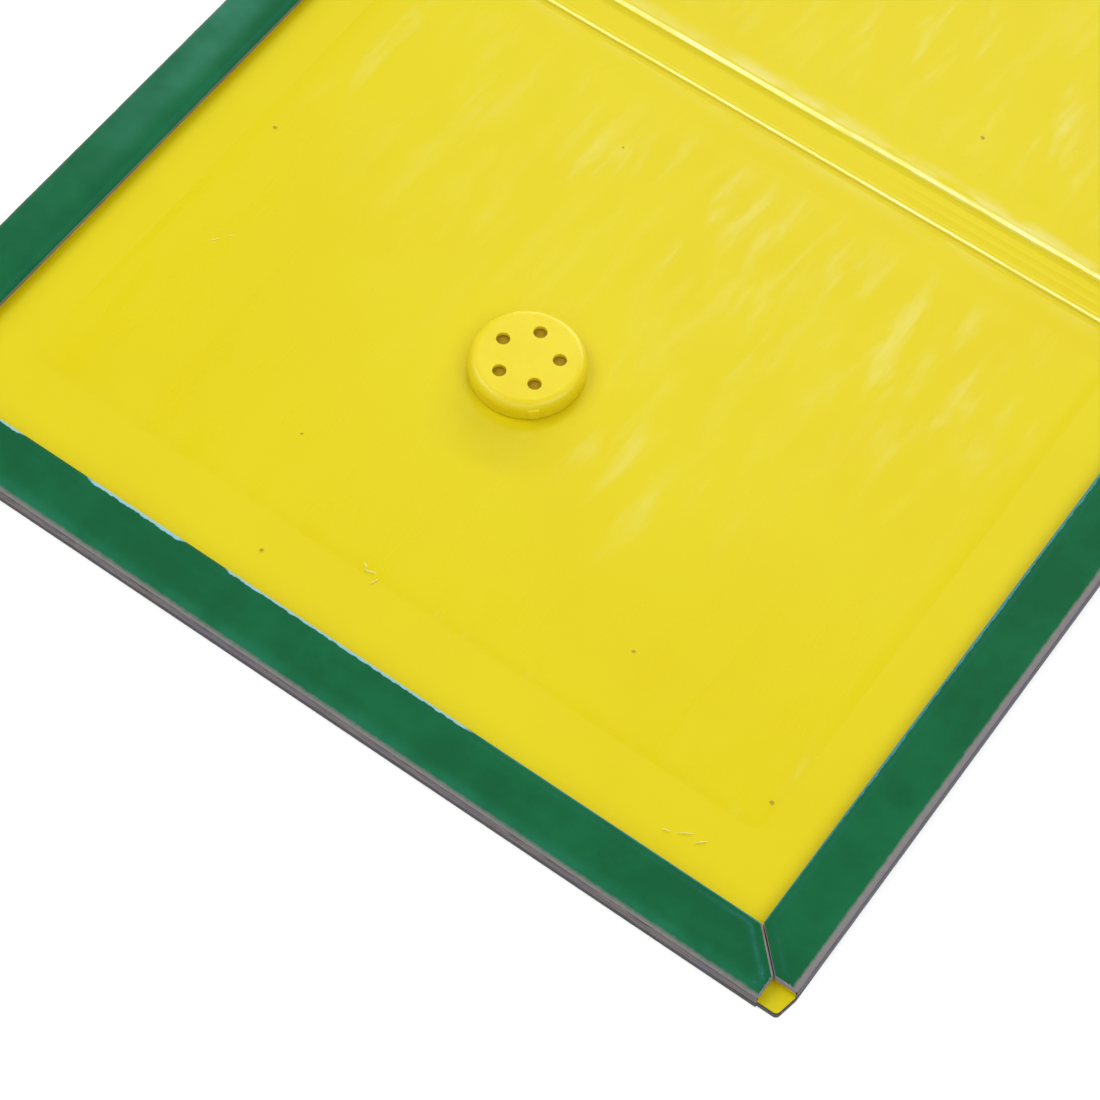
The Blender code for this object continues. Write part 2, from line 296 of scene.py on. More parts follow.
def paleWisp():
    material, tree, shader, place = startMaterial("paleWisp", 0.3)
    strand = noiseOf(tree, place, 2400.0, 3.0, 0.6)
    colour = mixColour(tree, strand, (0.80, 0.69, 0.05), (0.90, 0.84, 0.34))
    tree.links.new(colour, shader.inputs["Base Color"])
    return material


green = greenPrint()
# painted light and shade: three copies of one grey board, lightest on the flaps, darker on the bends,
# darkest on the panels, spine and creases
shadedCoreGrey = greyBoard("shadedCoreGrey", (0.095, 0.083, 0.083), (0.045, 0.038, 0.042), (0.062, 0.061, 0.100))
litFlapGrey = greyBoard("litFlapGrey", (0.30, 0.265, 0.265), (0.16, 0.135, 0.14), (0.25, 0.245, 0.295))
midShadedFoldGrey = greyBoard("midShadedFoldGrey", (0.20, 0.175, 0.175), (0.105, 0.088, 0.092), (0.120, 0.120, 0.155))
yellow = yellowLining()
glue = clearGlue()
plastic = lurePlastic()
felt = waferFelt()
dust = darkDust()
wisp = paleWisp()
print("materials ready")


# shape helpers
def flatGrid(low, high, cellX, cellY):
    shape = bmesh.new()
    width = high.x - low.x
    depth = high.y - low.y
    columns = max(1, round(width / cellX))
    rows = max(1, round(depth / cellY))
    bmesh.ops.create_grid(shape, x_segments=columns, y_segments=rows, size=0.5)
    bmesh.ops.scale(shape, vec=(width, depth, 1.0), verts=shape.verts)
    middle = ((low.x + high.x) / 2, (low.y + high.y) / 2, 0.0)
    bmesh.ops.translate(shape, vec=middle, verts=shape.verts)
    return shape


def slicePlane(shape, point, normal, trim):
    everything = shape.verts[:] + shape.edges[:] + shape.faces[:]
    bmesh.ops.bisect_plane(
        shape, geom=everything, dist=1e-7, plane_co=point, plane_no=normal, clear_outer=trim,
    )


def thicken(shape, low, high):
    # a flat sheet at z = 0 becomes a closed slab between two heights
    made = bmesh.ops.extrude_face_region(shape, geom=shape.faces[:])
    lifted = [part for part in made["geom"] if isinstance(part, bmesh.types.BMVert)]
    bmesh.ops.translate(shape, vec=(0.0, 0.0, high - low), verts=lifted)
    bmesh.ops.translate(shape, vec=(0.0, 0.0, low), verts=shape.verts)
    bmesh.ops.recalc_face_normals(shape, faces=shape.faces)


def wobble(place, size, seed):
    return noise.noise(Vector((place.x, place.y, seed)) / size)


def addPiece(name, shape, material, body, nodes=(), smoothAngle=40.0):
    mesh = bpy.data.meshes.new(name)
    shape.to_mesh(mesh)
    shape.free()
    mesh.materials.append(material)
    mesh.shade_smooth()
    mesh.set_sharp_from_angle(angle=math.radians(smoothAngle))
    piece = bpy.data.objects.new(name, mesh)
    bpy.context.scene.collection.objects.link(piece)
    if isinstance(body, str):
        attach(piece, body)
    if nodes:
        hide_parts(*nodes)
    return piece


# sizes read from the frame
panelLow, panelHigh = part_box("near_panel_core_board")
spineLow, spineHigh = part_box("spine_core_board")
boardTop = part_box("near_panel_yellow_lining")[1].z
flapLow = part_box("near_end_flap_yellow_lining")[0].z
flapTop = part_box("near_end_flap_printed_paper")[1].z
sideX = panelHigh.x
outerY = -panelLow.y
creaseY = (spineHigh.y - panelHigh.y) / 2  # half way across each crease gap
creaseGap = spineLow.y - panelHigh.y
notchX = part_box("near_end_flap_core_board")[1].x  # where the end flap stops short of the corner
notchSize = sideX - notchX
paper = 0.12 * mm  # the visible thickness of either paper ply


def bell(value, width):
    return math.exp(-(value / width) ** 2)


def ease(value, low, high):
    share = min(1.0, max(0.0, (value - low) / (high - low)))
    return share * share * (3.0 - 2.0 * share)


def roundOver(distance, reach, drop):
    if distance >= reach:
        return 0.0
    share = 1.0 - max(distance, 0.0) / reach
    return drop * (1.0 - math.sqrt(max(0.0, 1.0 - share * share)))


# flaps: each is described by its box, the way it points in from its fold, and its mitred corners
flapLook = {
    "cellAcross": 0.8 * mm,
    "cellAlong": 2.0 * mm,
    "rimRings": (0.12, 0.28, 0.5, 0.8, 1.1, 1.35, 1.6, 1.85, 2.2),  # extra rows of cells, in mm
    "foldRings": (0.10, 0.22, 0.36, 0.52, 0.70, 0.95, 1.4),
    "mitreRings": (0.15, 0.4, 0.7, 1.0, 1.35, 1.6, 1.85, 2.2),
    "rimDrop": 0.20 * mm,
    "rimReach": 0.80 * mm,
    "foldDrop": 0.75 * mm,
    "foldReach": 1.00 * mm,
    "foldClear": 0.05 * mm,
    "rimInset": 0.06 * mm,
    "endDrop": 0.14 * mm,
    "endReach": 0.50 * mm,
    "pressAt": 1.20 * mm,
    "pressWidth": 0.42 * mm,
    "pressDepth": 0.05 * mm,
    "wave": 0.05 * mm,
    "bareEnd": 0.22 * mm,
    "bareBend": {"end": 0.05 * mm, "left": -0.8 * mm, "right": 0.50 * mm},
    "bareLift": 0.08 * mm,
    "endMitre": (0.05 * mm, 0.32 * mm),  # board clear of the mitre, print clear of the cut
    "sideMitre": (0.22 * mm, 0.10 * mm),
    "plyGap": 0.01 * mm,
    "fray": 0.04 * mm,
    "fraySize": 1.1 * mm,
}


def describeFlap(name, inward, mitres, chafeAndSheen, pressAndHighlight, paintedSheen):
    low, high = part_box(f"{name}_core_board")
    printLow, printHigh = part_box(f"{name}_printed_paper")
    inward = Vector((*inward, 0.0))
    along = Vector((-inward.y, inward.x, 0.0))
    edge = next(edge for edge in ("left", "right", "end") if edge in name)
    mitreGap, bareMitre = flapLook["endMitre" if edge == "end" else "sideMitre"]
    return {
        "name": name, "edge": edge, "low": low, "high": high, "inward": inward, "along": along,
        "reach": max(low.dot(inward), high.dot(inward)),
        "start": min(low.dot(inward), high.dot(inward)),
        "printStart": min(printLow.dot(inward), printHigh.dot(inward)),
        "ends": sorted((low.dot(along), high.dot(along))),
        "axis": -(outerY if edge == "end" else sideX),
        "mitres": mitres, "mitreGap": mitreGap, "bareMitre": bareMitre,
        "chafeAndSheen": chafeAndSheen, "pressAndHighlight": pressAndHighlight, "paintedSheen": paintedSheen,
    }


def mitreCuts(flap, trim):
    cuts = []
    for signX, signY in flap["mitres"]:
        corner = Vector((signX * sideX, signY * outerY, 0.0))
        normal = Vector((signX, -signY, 0.0)).normalized()
        if abs(flap["inward"].x) > 0.5:
            normal = -normal
        cuts.append((corner - normal * (flap["mitreGap"] + trim), normal))
    return cuts


def flapSheet(flap, startAt, endTrim, mitreTrim, rings):
    inward = flap["inward"]
    along = flap["along"]
    cells = flapLook["cellAlong"], flapLook["cellAcross"]
    if abs(inward.x) > 0.5:
        cells = cells[1], cells[0]
    shape = flatGrid(flap["low"], flap["high"], *cells)
    if rings:
        for ring in flapLook["rimRings"]:
            slicePlane(shape, inward * (flap["reach"] - ring * mm), inward, False)
        for ring in flapLook["foldRings"]:
            slicePlane(shape, inward * (startAt + ring * mm), inward, False)
        for ring in flapLook["mitreRings"]:
            for point, normal in mitreCuts(flap, mitreTrim + ring * mm):
                slicePlane(shape, point, normal, False)
    slicePlane(shape, inward * startAt, -inward, True)
    slicePlane(shape, along * (flap["ends"][0] + endTrim), -along, True)
    slicePlane(shape, along * (flap["ends"][1] - endTrim), along, True)
    for point, normal in mitreCuts(flap, mitreTrim):
        slicePlane(shape, point, normal, True)
    return shape


def flapDistances(flap, place, startAt, endTrim, mitreTrim):
    reached = place.dot(flap["inward"])
    run = place.dot(flap["along"])
    ends = min(run - flap["ends"][0] - endTrim, flap["ends"][1] - endTrim - run)
    mitred = min([(point - place).xy.dot(normal.xy) for point, normal in mitreCuts(flap, mitreTrim)])
    return reached - startAt, flap["reach"] - reached, ends, mitred


def waveOf(place):
    return (wobble(place, 38 * mm, 3.1) + 0.35 * wobble(place, 7 * mm, 8.7)) * flapLook["wave"]


def flapDrop(fold, rim, ends, mitred):
    drop = roundOver(rim, flapLook["rimReach"], flapLook["rimDrop"])
    drop += roundOver(fold, flapLook["foldReach"], flapLook["foldDrop"])
    return drop + roundOver(min(ends, mitred), flapLook["endReach"], flapLook["endDrop"])


def foldShift(flap, fold, startAt):
    # the print and the board below it roll out over the bend, as far as the fold's own axis
    share = max(0.0, 1.0 - fold / flapLook["foldReach"])
    return (startAt - flap["axis"] - flapLook["foldClear"]) * share * share


def makeFlapPrint(flap):
    name = flap["name"]
    trims = flapLook["bareEnd"], flap["bareMitre"]
    shape = flapSheet(flap, flap["printStart"], *trims, True)
    thicken(shape, flapTop - paper, flapTop)
    keys = ("fromFold", "fromRim", "chafeAndSheen", "pale", "pressHighlight", "paintedGlints", "paintedSheen", "foldSheenShare")
    layers = {key: shape.verts.layers.float.new(key) for key in keys}
    rubbed = flapLook["bareBend"][flap["edge"]]
    wearAndSheen = 1.0 if flap["edge"] == "end" else 0.15
    for vert in shape.verts:
        place = vert.co.copy()
        fold, rim, ends, mitred = flapDistances(flap, place, flap["printStart"], *trims)
        # a pressed line inset from the edges: a real dent, with a painted highlight on it
        line = bell(min(rim, mitred - 0.5 * mm, ends) - flapLook["pressAt"], flapLook["pressWidth"])
        strength = flap["pressAndHighlight"](place)
        vert[layers["fromFold"]] = max(0.0, fold - rubbed)
        vert[layers["fromRim"]] = rim
        # how far in the free edge is worn and painted with a highlight
        vert[layers["chafeAndSheen"]] = flap["chafeAndSheen"](place)
        vert[layers["pale"]] = ease(flap["chafeAndSheen"](place), 0.42, 0.80) * wearAndSheen
        vert[layers["pressHighlight"]] = line * strength
        # painted glints along the pressed line, within a few mm of the fold
        vert[layers["paintedGlints"]] = line * ease(strength, 0.6, 0.95) * ease(6 * mm - fold, 0.0, 2 * mm)
        vert[layers["paintedSheen"]] = flap["paintedSheen"](place) * ease(rim, 1.5 * mm, 6.5 * mm)
        # the share of painted sheen by the fold: full on the end flaps, faint on the side flaps
        vert[layers["foldSheenShare"]] = wearAndSheen
        vert.co -= flap["inward"] * foldShift(flap, fold, flap["printStart"])
        dent = line * flapLook["pressDepth"] * strength
        vert.co.z += waveOf(place) - flapDrop(fold, rim, ends, mitred) - dent
    addPiece(f"{name}_print", shape, green, name, [f"{name}_printed_paper"])


def makeFlapCore(flap):
    name = flap["name"]
    shape = flapSheet(flap, flap["start"], 0.0, 0.0, True)
    slicePlane(shape, flap["inward"] * (flap["reach"] - flapLook["rimInset"]), flap["inward"], True)
    low = flapLow + paper
    high = flapTop - paper - flapLook["plyGap"]
    thicken(shape, low, high)
    for vert in shape.verts:
        place = vert.co.copy()
        fold, rim, ends, mitred = flapDistances(flap, place, flap["start"], 0.0, 0.0)
        if vert.co.z > (low + high) / 2:
            vert.co.z -= flapDrop(fold, rim, ends, mitred)
            vert.co -= flap["inward"] * foldShift(flap, fold, flap["start"])
            bare = min(ends - flapLook["bareEnd"], mitred - flap["bareMitre"])
            vert.co.z += flapLook["bareLift"] * ease(-bare, -0.02 * mm, 0.02 * mm)
        if min(fold, rim - flapLook["rimInset"]) < 0.01 * mm:
            vert.co += flap["inward"] * noise.noise(place / flapLook["fraySize"]) * flapLook["fray"]
        vert.co.z += waveOf(place)
    addPiece(f"{name}_core", shape, litFlapGrey, name, [f"{name}_core_board"])


def makeFlapLining(flap):
    name = flap["name"]
    shape = flapSheet(flap, flap["start"], 0.0, 0.0, False)
    thicken(shape, flapLow, flapLow + paper)
    for vert in shape.verts:
        vert.co.z += waveOf(vert.co)
    addPiece(f"{name}_lining", shape, yellow, name, [f"{name}_yellow_lining"])


def spans(along, *ranges):
    # how much a free edge is worn and painted with a highlight at a place, from (start, end, share) ranges
    # along it in mm
    found = 0.0
    for start, end, share in ranges:
        inside = min(along / mm - start, end - along / mm)
        found = max(found, share * min(1.0, max(0.0, inside)))
    return found


def nearChafeAndSheen(place):
    return spans(place.x, (-94, -71, 0.8), (-55.5, -32.5, 1.0), (-23, 31, 0.75), (31, 95, 0.40))


def farChafeAndSheen(place):
    return 0.7 * ease(wobble(place, 26 * mm, 2.0), 0.05, 0.15)


def sideChafeAndSheen(place):
    return 0.40 + 0.40 * ease(abs(place.y), 140 * mm, 100 * mm) + 0.2 * wobble(place, 20 * mm, 5.0)


def nearPressAndHighlight(place):
    return 0.12 + 0.75 * ease(place.x, 78 * mm, 92 * mm) + 0.2 * ease(place.x, 10 * mm, 40 * mm)


def sidePressAndHighlight(place):
    return 0.35


def unmarked(place):
    return 0.0


# painted sheen along the left flaps, growing towards the far end
def leftSheen(place):
    return ease(place.y, -135 * mm, -20 * mm)


flaps = [
    describeFlap("near_end_flap", (0, 1), [(-1, -1), (1, -1)], nearChafeAndSheen, nearPressAndHighlight, unmarked),
    describeFlap("near_left_flap", (1, 0), [(-1, -1)], unmarked, sidePressAndHighlight, leftSheen),
    describeFlap("near_right_flap", (-1, 0), [(1, -1)], sideChafeAndSheen, sidePressAndHighlight, unmarked),
    describeFlap("far_end_flap", (0, -1), [(-1, 1), (1, 1)], farChafeAndSheen, sidePressAndHighlight, unmarked),
    describeFlap("far_left_flap", (1, 0), [(-1, 1)], unmarked, sidePressAndHighlight, leftSheen),
    describeFlap("far_right_flap", (-1, 0), [(1, 1)], sideChafeAndSheen, sidePressAndHighlight, unmarked),
]
for flap in flaps:
    makeFlapPrint(flap)
    makeFlapCore(flap)
    makeFlapLining(flap)
print("flaps made")


# the bent strip of board between a panel and each folded flap
foldLook = {
    "columns": 130,
    "rows": 9,
    "wall": 0.30 * mm,
    "liningWall": 0.10 * mm,
    "inset": 0.04 * mm,
    "bulge": 0.40 * mm,
    "turn": math.pi * 0.88,
    "endTaper": 9 * mm,
    "paintedShadeUpTo": 0.24,
    "tuckUnder": 0.06 * mm,
    "topUnder": 0.68 * mm,
    "fray": 0.05 * mm,
    "fraySize": 1.3 * mm,
}


def makeFold(flap, panelBody):
    # a bent strip of bare board outside, and the lining that bends with it inside
    wall = foldLook["wall"]
    inside = wall + flapLook["plyGap"]
    makeBend(flap, panelBody, "bend", 0.0, wall, midShadedFoldGrey)
    makeBend(flap, panelBody, "bend_lining", inside, foldLook["liningWall"], yellow)


def makeBend(flap, panelBody, part, depth, wall, material):
    name = flap["name"]
    inward = flap["inward"]
    along = flap["along"]
    first, last = flap["ends"]
    axis = flap["axis"]
    low = boardTop - foldLook["tuckUnder"]
    high = flapTop - foldLook["topUnder"]
    shape = bmesh.new()
    bmesh.ops.create_grid(shape, x_segments=foldLook["columns"], y_segments=foldLook["rows"], size=0.5)
    paintedShade = shape.verts.layers.float.new("paintedShade")
    for vert in shape.verts:
        share = vert.co.y + 0.5
        # painted shade: darker towards the foot of the bend
        vert[paintedShade] = 1.0 - ease(share, 0.0, foldLook["paintedShadeUpTo"])
        run = first + (last - first) * (vert.co.x + 0.5)
        toEnd = min(run - first, last - run)
        fullness = 0.15 + 0.85 * ease(toEnd, 0.0, foldLook["endTaper"])
        belly = foldLook["bulge"] * math.sin(foldLook["turn"] * share) * fullness
        fray = noise.noise(Vector((run, share * 2 * mm, 0.0)) / foldLook["fraySize"]) * foldLook["fray"]
        vert.co = along * run + inward * (axis + foldLook["inset"] - belly + fray + depth)
        vert.co.z = low + (high - low) * share
    made = bmesh.ops.extrude_face_region(shape, geom=shape.faces[:])
    inner = [item for item in made["geom"] if isinstance(item, bmesh.types.BMVert)]
    bmesh.ops.translate(shape, vec=inward * wall, verts=inner)
    bmesh.ops.recalc_face_normals(shape, faces=shape.faces)
    piece = addPiece(f"{name}_{part}", shape, material, None)
    root = inward * axis
    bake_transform(piece, panelBody, name, root + Vector((0, 0, boardTop)), root + Vector((0, 0, flapLow)))


for flap in flaps:
    makeFold(flap, "near_panel" if flap["name"].startswith("near") else "far_panel")
print("folds made")


# panels and spine
panelLook = {
    "printCell": 4 * mm,
    "coreCell": 2 * mm,
    "liningCell": 1.5 * mm,
    "underCore": 0.005 * mm,
    "overCore": 0.02 * mm,
    "wave": 0.05 * mm,
    "swell": 0.06 * mm,
    "spineLine": 0.05 * mm,
    "cornerSetback": (0.9 * mm, 0.35 * mm),
    "cornerRadius": 0.7 * mm,
    "printInset": 0.05 * mm,
    "liningInset": 0.16 * mm,
    "spineLines": (-1.0, 0.9),  # in mm from the middle
}


def panelWave(place):
    broad = wobble(place, 46 * mm, 11.3) * 0.6 + wobble(place, 19 * mm, 5.2) * 0.3
    beside = abs(place.y) - creaseY
    fade = ease(beside, 0.0, 4 * mm)
    swell = panelLook["swell"] * bell(beside - 3.0 * mm, 1.3 * mm) if place.y > 0 else 0.0
    if beside < 0:
        lines = sum(bell(place.y - line * mm, 0.25 * mm) for line in panelLook["spineLines"])
        return panelLook["spineLine"] * lines * ease(place.x, 10 * mm, 45 * mm)
    return broad * panelLook["wave"] * fade + swell


def creaseSheen(place):
    # the lining is painted pale along the far panel's crease, and faintly along the near one's: a painted
    # reflection
    beside = abs(place.y) - creaseY
    scuffAndSheen = bell(beside - 2.0 * mm, 1.2 * mm)
    patch = 0.55 + 0.45 * ease(wobble(place, 21 * mm, 4.4), -0.2, 0.3)
    return min(1.0, 1.5 * scuffAndSheen) * patch * (1.0 if place.y > 0 else 0.25)


def panelSheet(low, high, side, inset, cell):
    # a panel's flat sheet, with each bare outer corner tapered in from the side fold and stepped
    # in from the end fold
    low = Vector((low.x + inset, low.y, 0.0))
    high = Vector((high.x - inset, high.y, 0.0))
    if side > 0:
        high.y -= inset
    else:
        low.y += inset
    shape = flatGrid(low, high, cell, cell)
    stepX = sideX - notchSize - inset
    stepY = outerY - notchSize - inset
    tipX = sideX - panelLook["cornerSetback"][0] - inset
    tipY = outerY - panelLook["cornerSetback"][1] - inset
    for sign in (-1, 1):
        slicePlane(shape, Vector((sign * stepX, 0, 0)), Vector((1, 0, 0)), False)
    for line in (stepY, tipY):
        slicePlane(shape, Vector((0, side * line, 0)), Vector((0, 1, 0)), False)
    outside = []
    for face in shape.faces:
        middle = face.calc_center_median()
        if abs(middle.x) > stepX and side * middle.y > tipY:
            outside.append(face)
    bmesh.ops.delete(shape, geom=outside, context="FACES")
    for vert in shape.verts:
        beyond = abs(vert.co.x) - stepX
        share = (side * vert.co.y - stepY) / (tipY - stepY)
        if beyond > 0 and share > 0:
            drawn = beyond * (1.0 - share * (high.x - tipX) / (high.x - stepX))
            vert.co.x = math.copysign(stepX + drawn, vert.co.x)
    return shape, Vector((tipX, side * tipY, 0.0))


def roundTips(shape, tip, radius):
    found = []
    for edge in shape.edges:
        first, second = edge.verts
        upright = abs(first.co.z - second.co.z) > 0.01 * mm
        atTip = abs(abs(first.co.x) - tip.x) < 1e-6 and abs(first.co.y - tip.y) < 1e-6
        if upright and atTip:
            found.append(edge)
    bmesh.ops.bevel(
        shape, geom=found, offset=radius, segments=4, profile=0.5, affect="EDGES", material=-1,
    )


def addLayers(shape, names):
    # distances start at 20 mm, clear of any fold or rim, and everything else at nothing
    for name in names:
        layer = shape.verts.layers.float.new(name)
        for vert in shape.verts:
            vert[layer] = 0.02 if name.startswith("from") else 0.0


def makePly(name, node, shape, bottom, top, tip, material, body, waved):
    thicken(shape, bottom, top)
    if tip:
        roundTips(shape, tip, panelLook["cornerRadius"])
    addLayers(shape, ("fromFold", "fromRim", "hazeAndSheen"))
    if waved:
        layer = shape.verts.layers.float["hazeAndSheen"]
        for vert in shape.verts:
            vert[layer] = creaseSheen(vert.co)
            vert.co.z += panelWave(vert.co)
    addPiece(name, shape, material, body, [node])


def makeSection(name, body, side):
    low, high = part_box(f"{name}_core_board")
    coreLow = paper + panelLook["underCore"]
    coreTop = boardTop - paper - panelLook["overCore"]
    levels = [
        ("print", "printed_paper", 0.0, paper, panelLook["printInset"], green, "green_print"),
        ("core", "core_board", coreLow, coreTop, 0.0, shadedCoreGrey, "grey_board"),
        ("lining", "yellow_lining", boardTop - paper, boardTop, panelLook["liningInset"], yellow,
         "yellow_lining"),
    ]
    for part, node, bottom, top, inset, material, slotName in levels:
        cell = panelLook[f"{part}Cell"]
        tip = None
        if side:
            shape, tip = panelSheet(low, high, side, inset, cell)
        else:
            shape = flatGrid(low, high, cell, cell)
        if part == "lining" and not side:
            for line in panelLook["spineLines"]:
                for offset in (-0.3, 0.0, 0.3):
                    slicePlane(shape, Vector((0, (line + offset) * mm, 0)), Vector((0, 1, 0)), False)
        makePly(
            f"{name}_{part}", f"{name}_{node}", shape, bottom, top, tip, material, body,
            part == "lining",
        )


makeSection("near_panel", "near_panel", -1)
makeSection("far_panel", "far_panel", 1)
makeSection("spine", "spine", 0)
print("panels and spine made")


# creases: a raised bead in the lining, with the board and the print bent below it
creaseLook = {
    "reach": 1.5 * mm,
    "columns": 30,
    "bendHalf": 0.40 * mm,
    "beadDepth": 0.30 * mm,
    "beadLift": 0.05 * mm,
    "tuck": 0.07 * mm,
    "near": {  # in mm across the crease
        "peak": -0.15, "rise": 0.32, "flank": 0.80, "height": 0.26,
        "groove": 0.10, "grooveAt": -0.66, "pale": 0.7,
    },
    "far": {
        "peak": -0.45, "rise": 0.70, "flank": 1.40, "height": 0.46,
        "groove": 0.0, "grooveAt": -1.12, "pale": 1.0,
    },
    "breakAt": 12 * mm,  # the far bead is pinched here and leans more beyond
}


def beadHeight(look, across, along):
    lean = 0.10 * wobble(Vector((along, 0.0, 0.0)), 30 * mm, 1.9)
    strength = 1.0 + 0.20 * wobble(Vector((along, 0.0, 0.0)), 24 * mm, 6.6)
    if look is creaseLook["far"]:
        lean += 0.30 * ease(along, creaseLook["breakAt"], creaseLook["breakAt"] + 2 * mm)
        strength -= 0.45 * bell(along - creaseLook["breakAt"], 1.8 * mm)
    at = across / mm - lean
    rise = ease(at, look["peak"] - look["rise"], look["peak"])
    fall = 1.0 - (at - look["peak"]) / look["flank"]
    hill = max(0.0, min(rise, fall)) * look["height"] * strength
    return (hill - look["groove"] * bell(at - look["grooveAt"], 0.16)) * mm


def makeCrease(name, side, bodyA, bodyB, look):
    centre = side * creaseY
    reach = creaseLook["reach"]
    start = Vector((0.0, centre - creaseLook["bendHalf"], 0.0))
    end = Vector((0.0, centre + creaseLook["bendHalf"], 0.0))
    low = Vector((-sideX, centre - reach, 0.0))
    high = Vector((sideX, centre + reach, 0.0))
    shape = flatGrid(low, high, 1.5 * mm, 2 * reach / creaseLook["columns"])
    thicken(shape, boardTop - creaseLook["beadDepth"], boardTop)
    paintedGrooveShade = shape.verts.layers.float.new("paintedGrooveShade")
    burnish = shape.verts.layers.float.new("burnish")
    hazeAndSheen = shape.verts.layers.float.new("hazeAndSheen")
    for vert in shape.verts:
        across = vert.co.y - centre
        onFlank = ease(across / mm, look["peak"] - 0.1, look["peak"] + 0.1)
        onFlank *= ease(look["peak"] + look["flank"] - across / mm, -0.2, 0.1)
        # painted shade in the groove at the bead's foot
        vert[paintedGrooveShade] = bell(across / mm - look["grooveAt"], 0.26) * min(1.0, look["groove"] / 0.10)
        vert[burnish] = onFlank
        # painted highlight: the bead's flank is painted pale
        vert[hazeAndSheen] = onFlank * look["pale"] * (0.7 + 0.6 * wobble(vert.co, 13 * mm, 2.2))
        if vert.co.z > boardTop - 0.1 * mm:
            tuck = roundOver(reach - abs(across), 0.6 * mm, creaseLook["tuck"])
            vert.co.z += creaseLook["beadLift"] + beadHeight(look, across, vert.co.x) - tuck
    bead = addPiece(f"{name}_bead", shape, yellow, None, smoothAngle=60)
    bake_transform(bead, bodyA, bodyB, start, end)
    coreTop = boardTop - creaseLook["beadDepth"] - flapLook["plyGap"]
    low = Vector((-sideX, centre - creaseGap / 2, 0.0))
    high = Vector((sideX, centre + creaseGap / 2, 0.0))
    middle = Vector((0.0, centre, 0.0))
    half = Vector((0.0, creaseGap / 2, 0.0))
    for part, bottom, top, material, slotName in (
        ("core", paper, coreTop, shadedCoreGrey, "grey_board"),
        ("print", 0.0, paper, green, "green_print"),
    ):
        shape = flatGrid(low, high, 3 * mm, creaseGap / 8)
        thicken(shape, bottom, top)
        addLayers(shape, ("fromFold", "fromRim"))
        piece = addPiece(f"{name}_{part}", shape, material, None)
        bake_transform(piece, bodyA, bodyB, middle - half, middle + half)


makeCrease("near_crease", -1, "near_panel", "spine", creaseLook["near"])
makeCrease("far_crease", 1, "spine", "far_panel", creaseLook["far"])
print("creases made")


# glue beds
glueLook = {
    "cell": 1.0 * mm,
    "radius": 3.0 * mm,
    "height": 0.13 * mm,
    "taper": 2.6 * mm,
    "creaseTaper": 6.0 * mm,
    "sunk": 0.10 * mm,
    "feather": 0.02 * mm,
    "ridge": 0.030 * mm,
    "ridgeAt": 1.4 * mm,
    "ridgeWidth": 0.7 * mm,
    "drag": 0.030 * mm,
}


def roundCorner(place, low, high, radius):
    # the cells at a square corner are drawn in to a round one
    for signX, signY in ((-1, -1), (1, -1), (1, 1), (-1, 1)):
        centreX = (high.x if signX > 0 else low.x) - signX * radius
        centreY = (high.y if signY > 0 else low.y) - signY * radius
        across = (place.x - centreX) * signX
        along = (place.y - centreY) * signY
        if across > 0 and along > 0:
            pull = max(across, along) / math.hypot(across, along)
            place.x = centreX + signX * across * pull
            place.y = centreY + signY * along * pull


def edgeDistance(place, low, high, radius):
    across = max(low.x + radius - place.x, place.x - high.x + radius)
    along = max(low.y + radius - place.y, place.y - high.y + radius)
    if across > 0 and along > 0:
        return radius - math.hypot(across, along)
    return radius - max(across, along)


def dragOf(place):
    lines = noise.noise(Vector((place.x / (5.5 * mm), place.y / (60 * mm), 4.0)))
    fineLines = noise.noise(Vector((place.x / (2.1 * mm), place.y / (26 * mm), 9.0)))
    middle = bell(place.x - 20 * mm, 30 * mm)
    return (lines + 0.5 * fineLines) * glueLook["drag"] * (0.35 + 0.65 * middle)


def hazeAndSheenOf(place, distance, toCrease):
    # milky smears, partly painted reflection: most of them by the creases, and a few pulled down the middle
    # of the near bed
    clear = ease(toCrease, 0.0, 14 * mm) * ease(distance, 0.0, 6 * mm)
    if place.y > 0:
        return 0.85 * clear
    upper = 0.70 * ease(place.y, -75 * mm, -25 * mm)
    pulled = 0.75 * bell(place.x - 22 * mm, 14 * mm) * ease(place.y, -115 * mm, -80 * mm)
    rim = 0.9 * bell(distance - glueLook["ridgeAt"], 1.2 * mm) * ease(place.x, 0.0, 30 * mm)
    return max(upper * clear, pulled * clear, rim * ease(-place.y, 100 * mm, 120 * mm))


